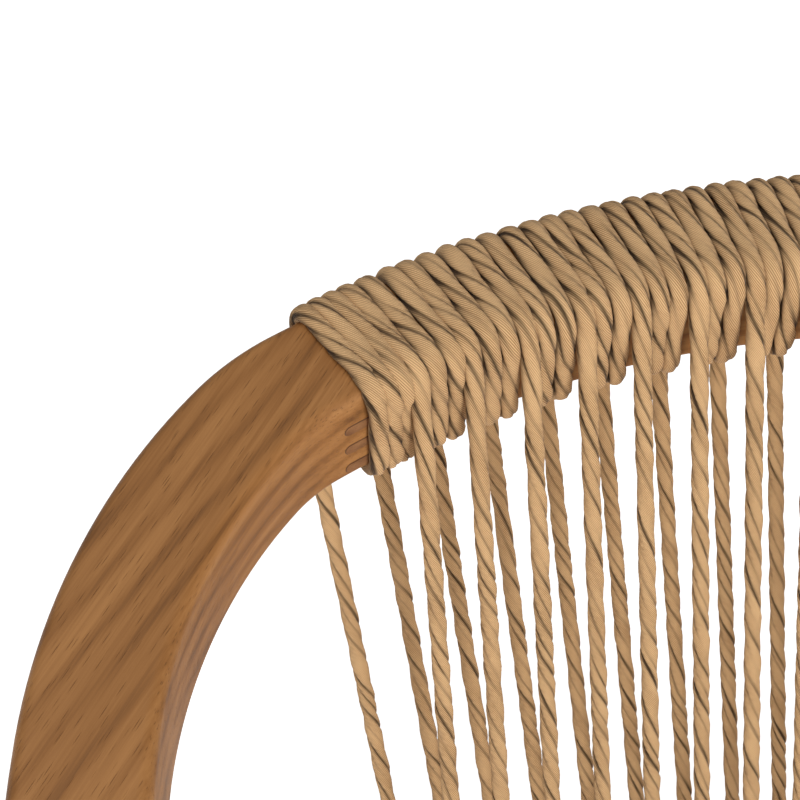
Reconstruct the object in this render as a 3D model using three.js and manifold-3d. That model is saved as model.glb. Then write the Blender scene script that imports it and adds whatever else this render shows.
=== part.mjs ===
// A cord-strung hammock seat slung between two wooden hoops on a four-legged stand.
// Millimetres, +Z up, the open front faces -Y, +X to the right.
import * as THREE from 'three';
import Module from 'manifold-3d';
import { mergeVertices } from 'three/addons/utils/BufferGeometryUtils.js';

const wasm = await Module();
wasm.setup();

// ---- driving dimensions ----
const SECTION = 45;            // both hoops, the rails and the legs are sawn from this square stock
const EDGE_ROUND = 5;          // rounding along every long edge
const FIT_GAP = 0.3;           // space left between two pieces that touch

const TOP_HEIGHT = 700;        // top face of the arm hoop at the middle of the back
const TOP_SLOPE = rad(12);     // the arm hoop rises towards the back
const BACK_RADIUS = 390;       // inner radius of the top back rail
const BACK_ANGLE = rad(25.8);  // half angle of both back rails, up to the far end of their fingers
const BEND_RADIUS = 65;        // tight bend where the back turns into the side
const BEND_ANGLE = rad(45);
const SIDE_RADIUS = 205;       // sweep of the corner piece
const SIDE_ANGLE = rad(80);
const ARM_RADIUS = 900;        // slow curve of the arm
const ARM_ANGLE = rad(97.5);

const SEAT_BACK_HEIGHT = 285;  // top face of the seat hoop at the middle of its back
const SEAT_SLOPE = rad(-12);   // the seat hoop falls towards the back
const SEAT_BACK_RADIUS = 345;
const SEAT_CORNER_ANGLE = rad(89.9);
const STRAIGHT_RADIUS = 60000; // the seat hoop's sides are as good as straight
const SEAT_SETBACK = 8;        // its inner back edge stands this far behind the arm hoop's

const LEG_X = 270;             // centre of every leg
const REAR_LEG_ANGLE = rad(84);    // where the rear leg meets the arm, on the arm's own arc
const FRONT_LEG_ANGLE = rad(94);
const REAR_LEG_RAKE = 225;     // the rear foot stands this far behind its top
const FRONT_LEG_RAKE = 60;     // the front foot stands this far before its top
const FOOT_TAPER = 0.78;       // depth of a leg at the floor against its depth at the top
const GLIDE_HEIGHT = 8;
const GLIDE_RADIUS = 13;

const FINGERS = 9;             // layers of a finger joint
const FINGER_LENGTH = 24;

const CORD = 7.7;              // width of one strand; wraps lie side by side at this pitch
const CORD_BULK = 5.5;         // how proud one wrap stands
const SLEEVE_GAP = 1;          // space between a rail and the sleeve of wraps round it
const STRANDS_PER_DROP = 3;    // every third strand leaves the rail as a drop
const BACK_DROPS = 14;         // in the front layer; the rear layer has one more
const DROP_ANGLE = rad(3.4);   // step from one drop to the next round the back
const SEAT_DROPS = 13;
const STRANDS_PER_SEAT_DROP = 4; // the seat's cords spread towards the front rail
const RECLINE = rad(16.7);     // the front drops lean forward from the vertical

const STRETCHER_HEIGHT = 130;
const STRETCHER = [28, 40];
const DOWEL_RADIUS = 5;
const DOWEL_LENGTH = 50;
const BOLT_RADIUS = 4;
const BOLT_HEAD_RADIUS = 9;
const BOLT_LENGTH = 75;

function rad(degrees) {
  return degrees * Math.PI / 180;
}

// ---- solids ----
function vec(x, y, z) {
  return new THREE.Vector3(x, y, z);
}

// A closed solid through rings of points, each ring with the same count.
function loft(rings) {
  const count = rings[0].length;
  const positions = rings.flat().flatMap((p) => [p.x, p.y, p.z]);
  const index = [];
  for (let ring = 0; ring + 1 < rings.length; ring += 1) {
    for (let side = 0; side < count; side += 1) {
      const next = (side + 1) % count;
      const a = ring * count + side;
      const b = ring * count + next;
      index.push(a, b, b + count, a, b + count, a + count);
    }
  }
  const last = (rings.length - 1) * count;
  for (let side = 1; side + 1 < count; side += 1) {
    index.push(0, side + 1, side);
    index.push(last, last + side, last + side + 1);
  }
  const geometry = new THREE.BufferGeometry();
  geometry.setAttribute('position', new THREE.Float32BufferAttribute(positions, 3));
  geometry.setIndex(signedVolume(positions, index) < 0 ? index.reverse() : index);
  return geometry;
}

function signedVolume(positions, index) {
  let volume = 0;
  const corner = (i) => vec(positions[3 * i], positions[3 * i + 1], positions[3 * i + 2]);
  for (let i = 0; i < index.length; i += 3) {
    const a = corner(index[i]);
    volume += a.dot(corner(index[i + 1]).cross(corner(index[i + 2]))) / 6;
  }
  return volume;
}

// Points of a rectangle with rounded corners, from (0, 0) to (width, depth), grown by `grow` all round.
function section(width, depth, round = EDGE_ROUND, grow = 0, steps = 2) {
  const radius = round + grow;
  const points = [];
  const right = width - round;
  const low = depth - round;
  const centres = [[right, low], [round, low], [round, round], [right, round]];
  centres.forEach(([u, v], quarter) => {
    for (let step = 0; step <= steps; step += 1) {
      const angle = (quarter + step / steps) * Math.PI / 2;
      points.push([u + radius * Math.cos(angle), v + radius * Math.sin(angle)]);
    }
  });
  return points;
}

function toManifold(geometry) {
  const plain = new THREE.BufferGeometry();
  plain.setAttribute('position', geometry.getAttribute('position'));
  plain.setIndex(geometry.getIndex());
  const merged = mergeVertices(plain, 1e-4);
  return new wasm.Manifold(new wasm.Mesh({
    numProp: 3,
    vertProperties: new Float32Array(merged.getAttribute('position').array),
    triVerts: new Uint32Array(merged.getIndex().array),
  }));
}

function fromManifold(solid) {
  const mesh = solid.getMesh();
  const geometry = new THREE.BufferGeometry();
  geometry.setAttribute('position', new THREE.Float32BufferAttribute(mesh.vertProperties, 3));
  geometry.setIndex(Array.from(mesh.triVerts));
  return geometry;
}

function join(first, ...others) {
  let solid = toManifold(first);
  for (const other of others) {
    solid = solid.add(toManifold(other));
  }
  return fromManifold(solid);
}

function cut(first, ...others) {
  let solid = toManifold(first);
  for (const other of others) {
    solid = solid.subtract(toManifold(other));
  }
  return fromManifold(solid);
}

// A round bar from one point to another.
function roundBar(from, to, radius, sides = 12) {
  const along = to.clone().sub(from).normalize();
  const across = Math.abs(along.x) < 0.9 ? vec(1, 0, 0) : vec(0, 1, 0);
  const u = across.clone().cross(along).normalize();
  const v = along.clone().cross(u);
  const ring = (centre) => Array.from({ length: sides }, (_, i) => {
    const angle = (i + 0.5) / sides * 2 * Math.PI;
    const across = centre.clone().addScaledVector(u, radius * Math.cos(angle));
    return across.addScaledVector(v, radius * Math.sin(angle));
  });
  return loft([ring(from), ring(to)]);
}

// ---- a hoop: a plan of arcs laid on a sloping plane ----
class HoopPlane {
  constructor(height, setback, slope) {
    this.origin = vec(0, setback, height);
    this.back = vec(0, Math.cos(slope), Math.sin(slope));
    this.down = vec(0, Math.sin(slope), -Math.cos(slope));
  }

  // a is sideways, b towards the back, h down from the top face.
  point(a, b, h) {
    return this.origin.clone().add(vec(a, 0, 0)).addScaledVector(this.back, b).addScaledVector(this.down, h);
  }
}

// Arcs follow one another with the same tangent; each has an inner radius and the angle it ends at.
function planArcs(list) {
  const arcs = [];
  let centre = [0, -list[0].radius];
  let start = 0;
  list.forEach((arc, i) => {
    if (i > 0) {
      const shift = list[i - 1].radius - arc.radius;
      centre = [centre[0] + shift * Math.sin(start), centre[1] + shift * Math.cos(start)];
    }
    arcs.push({ radius: arc.radius, centre, start, end: arc.end });
    start = arc.end;
  });
  return arcs;
}

// Inner edge point and outward direction at an angle on its arc; negative angles are the left side.
function planAt(arcs, angle) {
  const size = Math.abs(angle);
  const side = Math.sign(angle) || 1;
  const arc = arcs.find((one) => size <= one.end) ?? arcs[arcs.length - 1];
  const out = [Math.sin(size) * side, Math.cos(size)];
  return {
    inner: [arc.centre[0] * side + out[0] * arc.radius, arc.centre[1] + out[1] * arc.radius],
    out,
    radius: arc.radius,
  };
}

// A piece of a hoop between two angles, swept in steps.
function hoopSweep(plane, arcs, from, to, shape, stepAngle = rad(4.5)) {
  const marks = [from, to];
  arcs.forEach((arc) => marks.push(arc.end, -arc.end));
  const stops = marks.filter((a) => a >= from && a <= to).sort((a, b) => a - b);
  const angles = [];
  for (let i = 0; i + 1 < stops.length; i += 1) {
    const span = stops[i + 1] - stops[i];
    if (span < 1e-6) {
      continue;
    }
    const slow = planAt(arcs, (stops[i] + stops[i + 1]) / 2).radius > 600 ? 0.5 : 1;
    const count = Math.max(1, Math.ceil(span / (stepAngle * slow)));
    for (let step = 0; step < count; step += 1) {
      angles.push(stops[i] + span * step / count);
    }
  }
  angles.push(to);
  return loft(angles.map((angle) => {
    const { inner, out } = planAt(arcs, angle);
    return shape.map(([u, v]) => plane.point(inner[0] + out[0] * u, inner[1] + out[1] * u, v));
  }));
}

// A hoop piece between two shoulders. An end with a finger joint names the layers that are its own: they run on
// past the shoulder, and slots are cut there for the neighbour's fingers.
function fingeredPiece(plane, arcs, from, to, fromLayers, toLayers) {
  const reachPast = (at, direction, length) => (
    direction * length / planAt(arcs, at + direction * 1e-5).radius
  );
  const tipLength = FINGER_LENGTH - 2 * FIT_GAP;
  const tip = (at, direction, layers) => at + (layers ? reachPast(at, direction, tipLength) : 0);
  const ends = [[from, -1, fromLayers], [to, 1, toLayers]];
  const [low, high] = ends.map(([at, direction, layers]) => tip(at, direction, layers));
  const layer = SECTION / FINGERS;
  const slots = ends.filter(([, , layers]) => layers).flatMap(([at, direction, layers]) => {
    const past = at + reachPast(at, direction, FINGER_LENGTH + 10);
    return [...Array(FINGERS).keys()].filter((number) => !layers.includes(number)).map((number) => {
      const top = number * layer - (number === 0 ? 10 : FIT_GAP / 2);
      const bottom = (number + 1) * layer + (number === FINGERS - 1 ? 10 : FIT_GAP / 2);
      const slab = [[-30, top], [SECTION + 30, top], [SECTION + 30, bottom], [-30, bottom]];
      return hoopSweep(plane, arcs, Math.min(at, past), Math.max(at, past), slab);
    });
  });
  return cut(hoopSweep(plane, arcs, low, high, section(SECTION, SECTION)), ...slots);
}

const EVEN_LAYERS = [0, 2, 4, 6, 8];
const ODD_LAYERS = [1, 3, 5, 7];

// ---- the two hoops ----
const topPlane = new HoopPlane(TOP_HEIGHT, 0, TOP_SLOPE);
const topArcs = planArcs([
  { radius: BACK_RADIUS, end: BACK_ANGLE },
  { radius: BEND_RADIUS, end: BEND_ANGLE },
  { radius: SIDE_RADIUS, end: SIDE_ANGLE },
  { radius: ARM_RADIUS, end: ARM_ANGLE },
]);

const seatPlane = new HoopPlane(SEAT_BACK_HEIGHT, SEAT_SETBACK, SEAT_SLOPE);
const SEAT_HALF = LEG_X - SECTION / 2 - FIT_GAP - SECTION;   // inner half width of the seat hoop
const seatCornerRadius = (SEAT_HALF - SEAT_BACK_RADIUS * Math.sin(BACK_ANGLE)) / (1 - Math.sin(BACK_ANGLE));
const seatArcs = planArcs([
  { radius: SEAT_BACK_RADIUS, end: BACK_ANGLE },
  { radius: seatCornerRadius, end: SEAT_CORNER_ANGLE },
  { radius: STRAIGHT_RADIUS, end: rad(91) },
]);

// ---- legs ----
const rearTop = planAt(topArcs, REAR_LEG_ANGLE);
const frontTop = planAt(topArcs, FRONT_LEG_ANGLE);
const rearLeg = legLine(rearTop.inner[1], REAR_LEG_RAKE);
const frontLeg = legLine(frontTop.inner[1], -FRONT_LEG_RAKE);

// Centre line of a leg in the YZ plane, from the arm hoop's underside to the floor.
function legLine(b, rake) {
  const top = topPlane.point(0, b, SECTION);
  const foot = vec(0, top.y + rake, 0);
  return { top, foot };
}

function legAt(line, z) {
  return line.foot.y + (line.top.y - line.foot.y) * z / line.top.z;
}

function leg(line, side) {
  const along = line.top.clone().sub(line.foot).normalize();
  const across = vec(0, along.z, -along.y);
  const shape = section(SECTION, SECTION);
  const lift = topPlane.down.clone().negate();
  const ring = (place, taper, planePoint, normal) => shape.map(([u, v]) => {
    const offset = vec(u - SECTION / 2, 0, 0).addScaledVector(across, (v - SECTION / 2) * taper);
    const start = place.clone().add(offset).add(vec(side * LEG_X, 0, 0));
    const run = normal.dot(planePoint.clone().sub(start)) / normal.dot(along);
    return start.addScaledVector(along, run);
  });
  const floor = vec(0, 0, GLIDE_HEIGHT + FIT_GAP);
  const under = topPlane.point(0, 0, SECTION + FIT_GAP);
  return loft([ring(line.foot, FOOT_TAPER, floor, vec(0, 0, 1)), ring(line.top, 1, under, lift)]);
}

// ---- straight bars of the seat ----
// A bar along X, lying in the seat plane, its top face at depth h.
function crossBar(b, h, half, width, depth, round = EDGE_ROUND, grow = 0) {
  const shape = section(width, depth, round, grow);
  return loft([-half, half].map((a) => shape.map(([u, v]) => seatPlane.point(a, b + u, h + v))));
}

const sinSeat = Math.sin(-SEAT_SLOPE);
const cosSeat = Math.cos(SEAT_SLOPE);

// Where the front leg's centre line passes the seat plane's middle depth.
function seatReach(line) {
  let b = -400;
  for (let i = 0; i < 8; i += 1) {
    const place = seatPlane.point(0, b, SECTION / 2);
    b += (legAt(line, place.z) - place.y) / cosSeat;
  }
  return b;
}

const frontRailB = seatReach(frontLeg) - SECTION / 2;
// The front drops lean forward from the arm hoop's inner edge and meet the cross rail's front edge.
const lean = Math.tan(RECLINE);
const crossRun = SEAT_SETBACK + CORD_BULK + lean * (TOP_HEIGHT - SEAT_BACK_HEIGHT);
const crossReachB = crossRun / (cosSeat + lean * sinSeat);
const crossEdge = seatPlane.point(0, -crossReachB, 0);
const crossRailB = CORD_BULK - crossReachB;
const sideFrontB = frontRailB + SECTION + 2 * FIT_GAP;
const sideFront = Math.acos((sideFrontB - seatArcs[2].centre[1]) / STRAIGHT_RADIUS);
const sideShoulder = SEAT_CORNER_ANGLE + 2 / STRAIGHT_RADIUS;
const sideJoint = sideShoulder + FINGER_LENGTH / STRAIGHT_RADIUS;

// The finger zone between a back rail and its corner: the rail's shoulder is at inner, the corner's at outer.
function jointAngle(radius, end) {
  const outer = end - rad(0.4);
  return { inner: outer - FINGER_LENGTH / radius, outer };
}

// ---- cords ----
// A rail's layer of wraps, as one sleeve round it.
function sleeve(sweep) {
  const outside = section(SECTION, SECTION, EDGE_ROUND, CORD_BULK);
  const inside = section(SECTION, SECTION, EDGE_ROUND, SLEEVE_GAP);
  return cut(sweep(outside, 0), sweep(inside, 1));
}

function spread(count, pitch) {
  return Array.from({ length: count }, (_, i) => (i - (count - 1) / 2) * pitch);
}

const CORD_LIFT = CORD / 2 + SLEEVE_GAP;   // a drop's centre stands this far off its rail
const dropPitch = CORD * STRANDS_PER_DROP;
const seatPitch = CORD * STRANDS_PER_SEAT_DROP;
const backWrapAngle = DROP_ANGLE * (BACK_DROPS / 2 + 0.5 / STRANDS_PER_DROP);
const drop = (from, to) => roundBar(from, to, CORD / 2, 6);

// One rail's wraps and both layers of drops. The front layer runs from the hoop's inner edge to the front of
// the cross rail, the rear layer from the hoop's outer edge to the back of the cross rail.
function backCords() {
  const wraps = sleeve((shape, extra) => {
    const reach = backWrapAngle + extra * rad(1);
    return hoopSweep(topPlane, topArcs, -reach, reach, shape, rad(6));
  });
  const steps = spread(BACK_DROPS + 1, 1);
  const front = steps.slice(1).map((step) => {
    const { inner } = planAt(topArcs, step * DROP_ANGLE);
    const top = topPlane.point(inner[0], inner[1] - CORD_LIFT, EDGE_ROUND);
    return drop(top, crossEdge.clone().add(vec(step * dropPitch, 0, 2 * CORD_BULK)));
  });
  const rear = steps.map((step) => {
    const { inner, out } = planAt(topArcs, step * DROP_ANGLE);
    const reach = SECTION + CORD_LIFT;
    const top = topPlane.point(inner[0] + out[0] * reach, inner[1] + out[1] * reach, SECTION);
    return drop(top, seatPlane.point(step * dropPitch, crossRailB + reach, -CORD_BULK - SLEEVE_GAP));
  });
  return join(wraps, ...front, ...rear);
}

// A sheet of cords along the seat: which rail carries the wraps, and at what depth the cords lie.
function seatCords(railB, half, depth, count, backB, frontB) {
  const wraps = sleeve((shape, extra) => (
    loft([-half - extra, half + extra].map((a) => (
      shape.map(([u, v]) => seatPlane.point(a, railB + u, v)))))));
  const widen = seatPitch / dropPitch;
  const cords = spread(count, dropPitch).map((a) => (
    drop(seatPlane.point(a, backB, depth), seatPlane.point(a * widen, frontB, depth))));
  return join(wraps, ...cords);
}

// ---- assembly ----
const nodes = [];
const pieces = {};

function add(name, geometry, look) {
  pieces[name] = geometry;
  nodes.push({ name, look });
}

const WOOD = { color: 0x8a5f42, roughness: 0.55, metalness: 0 };
const SMALL_WOOD = { color: 0xc49a6c, roughness: 0.6, metalness: 0 };
const ROPE = { color: 0xc9a27a, roughness: 0.85, metalness: 0 };
const STEEL = { color: 0x8b8d90, roughness: 0.35, metalness: 1 };
const PLASTIC = { color: 0x2b2a29, roughness: 0.5, metalness: 0 };

const topJoint = jointAngle(BACK_RADIUS, BACK_ANGLE);
const armShoulder = SIDE_ANGLE + rad(0.3);
const armJoint = armShoulder + FINGER_LENGTH / ARM_RADIUS;
add('top_back_rail', fingeredPiece(
  topPlane, topArcs, -topJoint.inner, topJoint.inner, ODD_LAYERS, ODD_LAYERS,
), WOOD);
const topCorner = (start, end) => fingeredPiece(topPlane, topArcs, start, end, EVEN_LAYERS, EVEN_LAYERS);
add('left_top_corner', topCorner(-armShoulder, -topJoint.outer), WOOD);
add('right_top_corner', topCorner(topJoint.outer, armShoulder), WOOD);
add('left_arm', fingeredPiece(topPlane, topArcs, -ARM_ANGLE, -armJoint, null, ODD_LAYERS), WOOD);
add('right_arm', fingeredPiece(topPlane, topArcs, armJoint, ARM_ANGLE, ODD_LAYERS, null), WOOD);

const seatJoint = jointAngle(SEAT_BACK_RADIUS, BACK_ANGLE);
add('seat_back_rail', fingeredPiece(
  seatPlane, seatArcs, -seatJoint.inner, seatJoint.inner, ODD_LAYERS, ODD_LAYERS,
), WOOD);
for (const [word, side] of [['left', -1], ['right', 1]]) {
  const mirrored = (from, to, fromLayers, toLayers) => (side > 0
    ? fingeredPiece(seatPlane, seatArcs, from, to, fromLayers, toLayers)
    : fingeredPiece(seatPlane, seatArcs, -to, -from, toLayers, fromLayers));
  add(`${word}_seat_corner`, mirrored(seatJoint.outer, sideShoulder, EVEN_LAYERS, EVEN_LAYERS), WOOD);
  add(`${word}_seat_side`, mirrored(sideJoint, sideFront, ODD_LAYERS, null), WOOD);
}

add('front_rail', crossBar(frontRailB, 0, LEG_X - SECTION / 2 - FIT_GAP, SECTION, SECTION), WOOD);

// The cross rail's ends are coped to the inside of the two corners.
const copeShape = section(SECTION, SECTION, 0.5, FIT_GAP);
const copes = [[-rad(90), -BACK_ANGLE], [BACK_ANGLE, rad(90)]].map(([from, to]) => (
  hoopSweep(seatPlane, seatArcs, from, to, copeShape)));
add('cross_rail', cut(crossBar(crossRailB, 0, SEAT_HALF - FIT_GAP, SECTION, SECTION), ...copes), WOOD);

for (const [word, side] of [['left', -1], ['right', 1]]) {
  add(`${word}_front_leg`, leg(frontLeg, side), WOOD);
  add(`${word}_rear_leg`, leg(rearLeg, side), WOOD);
  for (const [end, line] of [['front', frontLeg], ['rear', rearLeg]]) {
    const foot = vec(side * LEG_X, legAt(line, GLIDE_HEIGHT), 0);
    add(`${word}_${end}_glide`, roundBar(foot, foot.clone().setZ(GLIDE_HEIGHT), GLIDE_RADIUS), PLASTIC);
  }
}

// Stretchers: one each side between the legs, one across between the rear legs.
const stretcherFrontY = legAt(frontLeg, STRETCHER_HEIGHT) + SECTION / 2 + FIT_GAP;
const stretcherRearY = legAt(rearLeg, STRETCHER_HEIGHT) - SECTION / 2 - FIT_GAP;

function stretcher(side) {
  const shape = section(STRETCHER[0], STRETCHER[1], 4);
  const ends = [[frontLeg, 1], [rearLeg, -1]].map(([line, direction]) => shape.map(([u, v]) => {
    const z = STRETCHER_HEIGHT - STRETCHER[1] / 2 + v;
    const taper = SECTION * (FOOT_TAPER + (1 - FOOT_TAPER) * z / line.top.z) / 2;
    const slant = Math.hypot(1, (line.top.y - line.foot.y) / line.top.z);
    const y = legAt(line, z) + direction * (taper * slant + FIT_GAP * 2);
    return vec(side * LEG_X - STRETCHER[0] / 2 + u, y, z);
  }));
  return loft(ends);
}

add('left_stretcher', stretcher(-1), WOOD);
add('right_stretcher', stretcher(1), WOOD);
const crossY = legAt(rearLeg, STRETCHER_HEIGHT + 60);
const crossShape = section(STRETCHER[0], STRETCHER[1], 4);
const crossReach = LEG_X - SECTION / 2 - FIT_GAP;
add('rear_stretcher', loft([-crossReach, crossReach].map((x) => crossShape.map(([u, v]) => (
  vec(x, crossY - STRETCHER[0] / 2 + u, STRETCHER_HEIGHT + 60 - STRETCHER[1] / 2 + v))))), WOOD);

// ---- dowels and bolts, with their holes ----
function pinned(name, from, to, radius, look, owners, head) {
  const pin = roundBar(from, to, radius, 8);
  const along = to.clone().sub(from).normalize();
  const hole = roundBar(
    from.clone().addScaledVector(along, -1), to.clone().addScaledVector(along, 1), radius + FIT_GAP, 8,
  );
  const solid = head ? join(pin, head.solid) : pin;
  for (const owner of owners) {
    pieces[owner] = cut(pieces[owner], hole);
  }
  if (head) {
    pieces[head.owner] = cut(pieces[head.owner], head.pocket);
  }
  add(name, solid, look);
}

for (const [word, side] of [['left', -1], ['right', 1]]) {
  for (const [end, line] of [['front', frontLeg], ['rear', rearLeg]]) {
    const along = line.top.clone().sub(line.foot).normalize();
    const middle = line.top.clone().add(vec(side * LEG_X, 0, 0));
    const from = middle.clone().addScaledVector(along, -DOWEL_LENGTH / 2);
    const to = middle.clone().addScaledVector(along, DOWEL_LENGTH / 2);
    const owners = [`${word}_${end}_leg`, `${word}_arm`];
    pinned(`${word}_${end}_arm_dowel`, from, to, DOWEL_RADIUS, SMALL_WOOD, owners);
  }
  const railEnd = SEAT_HALF - FINGER_LENGTH / 2;
  const railMiddle = seatPlane.point(side * railEnd, crossRailB + SECTION / 2, SECTION / 2);
  const half = vec(DOWEL_LENGTH / 2, 0, 0);
  pinned(`${word}_cross_rail_dowel`, railMiddle.clone().sub(half), railMiddle.clone().add(half), DOWEL_RADIUS,
    SMALL_WOOD, ['cross_rail', `${word}_seat_corner`]);
  for (const [end, y, direction] of [['front', stretcherFrontY, 1], ['rear', stretcherRearY, -1]]) {
    const place = vec(side * LEG_X, y, STRETCHER_HEIGHT);
    const step = vec(0, DOWEL_LENGTH / 2 - 5, 0);
    pinned(`${word}_${end}_stretcher_dowel`, place.clone().sub(step), place.clone().add(step), DOWEL_RADIUS,
      SMALL_WOOD, [`${word}_${end}_leg`, `${word}_stretcher`]);
  }
  // Bolts run from outside each leg into the front rail and into the seat hoop's corner.
  const rearB = seatReach(rearLeg);
  const bolts = [['front', 'front_rail', frontRailB + SECTION / 2], ['rear', `${word}_seat_corner`, rearB]];
  for (const [end, owner, b] of bolts) {
    const face = seatPlane.point(side * (LEG_X + SECTION / 2), b, SECTION / 2);
    const into = vec(-side, 0, 0);
    const seat = face.clone().addScaledVector(into, 4);
    const tip = seat.clone().addScaledVector(into, BOLT_LENGTH);
    const headTop = face.clone().addScaledVector(into, -1);
    const head = {
      solid: roundBar(headTop, seat, BOLT_HEAD_RADIUS, 16),
      pocket: roundBar(face.clone().addScaledVector(into, -3), seat.clone().addScaledVector(into, FIT_GAP),
        BOLT_HEAD_RADIUS + FIT_GAP, 16),
      owner: `${word}_${end}_leg`,
    };
    pinned(`${word}_${end}_bolt`, seat.clone().addScaledVector(into, -1), tip, BOLT_RADIUS, STEEL,
      [`${word}_${end}_leg`, owner], head);
  }
}
const rearStretcherPlace = vec(0, crossY, STRETCHER_HEIGHT + 60);
for (const [word, side] of [['left', -1], ['right', 1]]) {
  const middle = rearStretcherPlace.clone().setX(side * (LEG_X - SECTION / 2));
  const step = vec(DOWEL_LENGTH / 2 - 3, 0, 0);
  pinned(`${word}_rear_cross_dowel`, middle.clone().sub(step), middle.clone().add(step), DOWEL_RADIUS,
    SMALL_WOOD, ['rear_stretcher', `${word}_rear_leg`]);
}

// ---- cord panels ----
const cordFrom = crossRailB - CORD_BULK - FIT_GAP - 1;
const cordTo = frontRailB + SECTION / 2;
add('back_cords', backCords(), ROPE);
add('seat_top_cords', seatCords(
  frontRailB, seatPitch * SEAT_DROPS / 2, -CORD_LIFT, SEAT_DROPS, cordFrom, cordTo,
), ROPE);
add('seat_under_cords', seatCords(
  crossRailB, dropPitch * (BACK_DROPS + 1) / 2, SECTION + CORD_LIFT, SEAT_DROPS - 1,
  crossRailB + SECTION / 2, frontRailB + SECTION + CORD_BULK + FIT_GAP + 1,
), ROPE);

// ---- meshes, with the whole object centred over the origin and standing on the floor ----
const group = new THREE.Group();
group.name = 'hammock_seat_on_stand';
for (const { name, look } of nodes) {
  const mesh = new THREE.Mesh(pieces[name], new THREE.MeshStandardMaterial(look));
  mesh.name = name;
  group.add(mesh);
}
const bounds = new THREE.Box3().setFromObject(group);
const middle = bounds.getCenter(vec(0, 0, 0));
for (const mesh of group.children) {
  mesh.geometry.translate(-middle.x, -middle.y, -bounds.min.z);
  mesh.geometry.computeVertexNormals();
}

export default group;
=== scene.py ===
"""Looks of a cord-strung hammock seat on a wooden hoop stand.

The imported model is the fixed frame. Timber gets smooth arrises, finger joints and a sawn grain.
The plain cord panels are replaced by twisted tape, strung over the back rail and across the seat.
"""

import logging
import math
from dataclasses import dataclass, field
from enum import Enum
from typing import Iterable, Optional, Sequence

import bmesh
import bpy
import numpy as np
from mathutils import Matrix, Vector


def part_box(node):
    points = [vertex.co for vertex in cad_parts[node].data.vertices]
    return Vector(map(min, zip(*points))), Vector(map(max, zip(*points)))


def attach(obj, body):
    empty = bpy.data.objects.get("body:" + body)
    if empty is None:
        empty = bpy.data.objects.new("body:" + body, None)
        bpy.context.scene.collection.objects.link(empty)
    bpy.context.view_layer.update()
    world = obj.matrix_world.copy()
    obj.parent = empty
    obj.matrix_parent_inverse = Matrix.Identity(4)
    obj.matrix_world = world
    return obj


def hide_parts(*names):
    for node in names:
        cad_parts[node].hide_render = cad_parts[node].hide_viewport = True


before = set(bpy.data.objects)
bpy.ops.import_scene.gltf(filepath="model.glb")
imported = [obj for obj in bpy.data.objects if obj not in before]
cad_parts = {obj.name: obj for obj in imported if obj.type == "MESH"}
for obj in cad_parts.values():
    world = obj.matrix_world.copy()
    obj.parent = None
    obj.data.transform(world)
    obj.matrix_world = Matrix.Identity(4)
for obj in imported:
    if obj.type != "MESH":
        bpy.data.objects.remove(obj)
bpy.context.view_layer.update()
MM = 0.001
LOG = logging.getLogger("hammock_seat")

Colour = tuple[float, float, float]
Point2 = tuple[float, float]
Point3 = tuple[float, float, float]
Run = tuple[np.ndarray, np.ndarray, np.ndarray]
Socket = bpy.types.NodeSocket
Material = bpy.types.Material


def plain_colour(red: int, green: int, blue: int) -> Colour:
    """Turn a paint-chart colour into linear light.

    Args:
        red, green, blue: channel values from 0 to 255.

    Returns:
        The three linear channel values.
    """
    def linear(channel: int) -> float:
        share = channel / 255
        return share / 12.92 if share <= 0.04045 else ((share + 0.055) / 1.055) ** 2.4
    return linear(red), linear(green), linear(blue)


class Side(Enum):
    """The two halves of the seat; the left one is at negative X."""

    LEFT = -1
    RIGHT = 1

    @property
    def word(self) -> str:
        """The word that starts this side's node names."""
        return self.name.lower()


# ---------------------------------------------------------------- node helpers


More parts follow.
